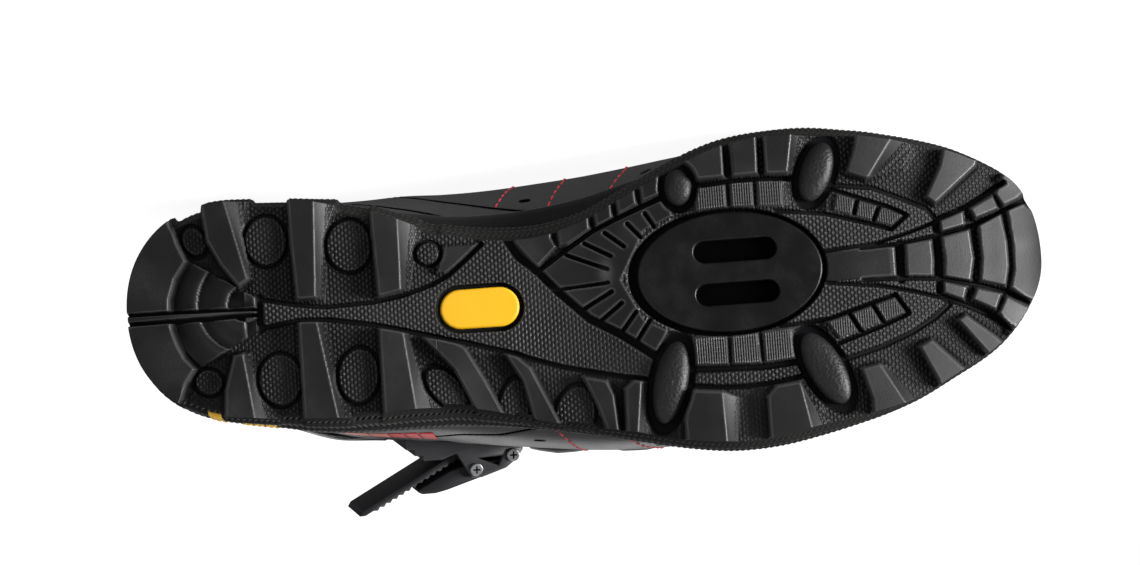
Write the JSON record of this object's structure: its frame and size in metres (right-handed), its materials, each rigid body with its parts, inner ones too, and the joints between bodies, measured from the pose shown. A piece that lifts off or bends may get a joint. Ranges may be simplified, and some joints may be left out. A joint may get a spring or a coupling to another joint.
{
  "type": "cycling shoe",
  "caption": "Left mountain-bike cycling shoe with lugged rubber sole, slotted cleat plate, lasted upper, straps and ratchet buckle, lying on its inner side",
  "frame": {"origin": "under the middle of the shoe, on the surface that it lies on", "axes": "X along the shoe with the heel at +X, the sole faces -Y and the outer side is up at +Z"},
  "size_m": [0.301, 0.1218, 0.1064],
  "materials": {
    "tread_rubber": "moulded rubber, satin, with scale and rib texture",
    "sidewall_rubber": "ribbed and beaded rubber",
    "plate_nylon": "smooth satin nylon",
    "badge_yellow": "smooth yellow rubber, slightly glossy",
    "upper_leather": "synthetic leather, satin, fine grain",
    "counter_leather": "synthetic leather, semi-gloss",
    "tongue_fabric": "padded mesh",
    "insole_fabric": "short nap fabric",
    "strap_fabric": "coated webbing",
    "buckle_plastic": "moulded nylon, satin",
    "lever_plastic": "moulded nylon, semi-gloss",
    "ladder_plastic": "moulded flexible plastic with teeth",
    "screw_steel": "bright steel"
  },
  "bodies": {
    "root": {"outsole": "tread_rubber", "midsole": "sidewall_rubber", "cleat_plate": "plate_nylon", "sole_badge": "badge_yellow", "pod_inner_rear": "tread_rubber", "pod_inner_front": "tread_rubber", "pod_outer_rear": "tread_rubber", "pod_outer_front": "tread_rubber", "upper": "upper_leather", "heel_counter": "counter_leather", "toe_cap": "counter_leather", "tongue": "tongue_fabric", "insole": "insole_fabric", "strap_front": "strap_fabric", "strap_middle": "strap_fabric", "instep_strap": "upper_leather", "buckle_base": "buckle_plastic", "buckle_lever": "lever_plastic", "ladder_strap": "ladder_plastic", "buckle_screw_front_lower": "screw_steel", "buckle_screw_front_upper": "screw_steel", "buckle_screw_rear_lower": "screw_steel", "buckle_screw_rear_upper": "screw_steel"}
  },
  "joints": []
}
